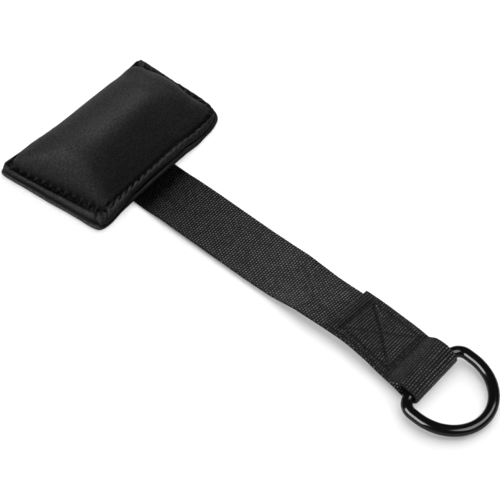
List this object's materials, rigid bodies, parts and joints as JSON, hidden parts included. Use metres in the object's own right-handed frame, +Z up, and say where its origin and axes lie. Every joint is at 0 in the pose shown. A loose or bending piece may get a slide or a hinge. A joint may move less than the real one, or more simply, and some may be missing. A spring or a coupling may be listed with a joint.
{
  "type": "suspension trainer door anchor",
  "caption": "Padded door anchor of a suspension trainer: a sewn block with a webbing strap that leaves its underside and holds a welded D-ring.",
  "frame": {"origin": "on the underside, at the middle of the webbing where it leaves the pad's near long edge", "axes": "+X along the strap from the pad to the D-ring, +Y along the pad's long side, +Z up out of the crown of the pad"},
  "size_m": [0.3371, 0.1251, 0.0352],
  "materials": {
    "cover_knit": "black knit-faced sponge sheet with a soft sheen",
    "core_foam": "closed-cell foam, inside the covers",
    "webbing": "black plain-weave synthetic webbing",
    "thread": "black bonded sewing thread",
    "ring_coat": "glossy black coat on steel wire"
  },
  "bodies": {
    "pad": {"top_cover": "cover_knit", "bottom_cover": "cover_knit", "foam_core": "core_foam", "cover_seam_needle_thread": "thread", "cover_seam_bobbin_thread": "thread", "strap_sewn_end": "webbing", "strap_anchor_needle_thread": "thread", "strap_anchor_bobbin_thread": "thread"},
    "strap_inner": {"strap_inner_span": "webbing"},
    "strap_outer": {"strap_ring_end": "webbing", "box_stitch_needle_thread": "thread", "box_stitch_bobbin_thread": "thread"},
    "ring": {"d_ring": "ring_coat"}
  },
  "joints": [
    {"name": "strap_fold", "type": "hinge", "parent": "pad", "child": "strap_inner", "pos_m": [0.006, 0, 0.0009], "axis": [0, -1, 0], "range_deg": [-90, 90]},
    {"name": "mid_fold", "type": "hinge", "parent": "strap_inner", "child": "strap_outer", "pos_m": [0.104, 0, 0.003], "axis": [0, -1, 0], "range_deg": [-90, 90]},
    {"name": "ring_swing", "type": "hinge", "parent": "strap_outer", "child": "ring", "pos_m": [0.2135, -0.003, 0.00675], "axis": [0, -1, 0], "range_deg": [-150, 160]}
  ]
}
